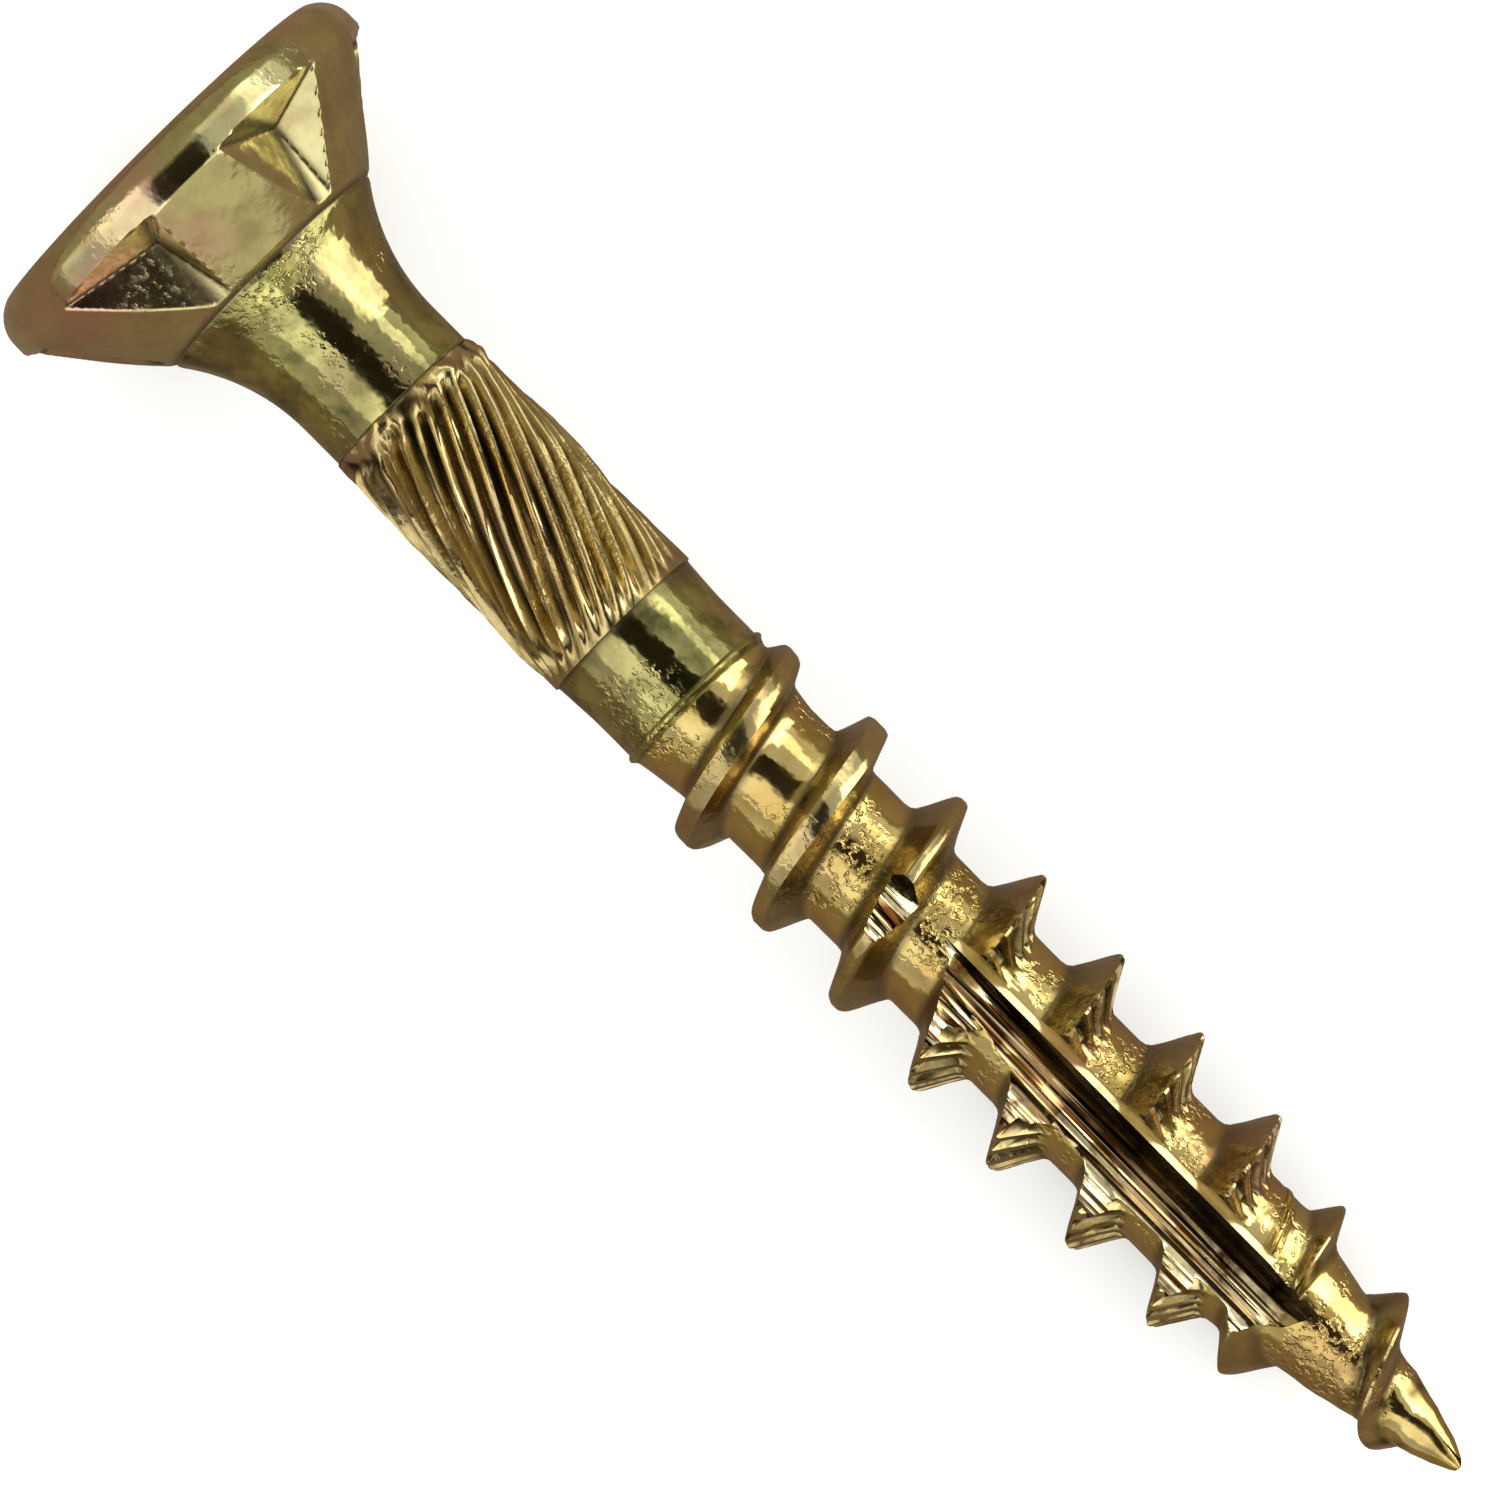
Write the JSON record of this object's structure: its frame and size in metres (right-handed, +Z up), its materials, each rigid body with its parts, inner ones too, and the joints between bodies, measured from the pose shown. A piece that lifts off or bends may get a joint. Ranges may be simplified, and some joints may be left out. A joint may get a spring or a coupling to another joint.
{
  "type": "flat head wood screw",
  "caption": "Flat head wood screw with a lobed drive recess, ribbed underside, knurled shank, notched right-hand thread and a fluted point.",
  "frame": {"origin": "on the floor under the middle of the lying screw", "axes": "+X from the head towards the point, +Y across the screw, +Z up with the flute on top"},
  "size_m": [0.0384, 0.0098, 0.0097],
  "materials": {
    "yellow_zinc": "bright steel with yellow chromate over zinc"
  },
  "bodies": {
    "root": {"wood_screw": "yellow_zinc"}
  },
  "joints": []
}
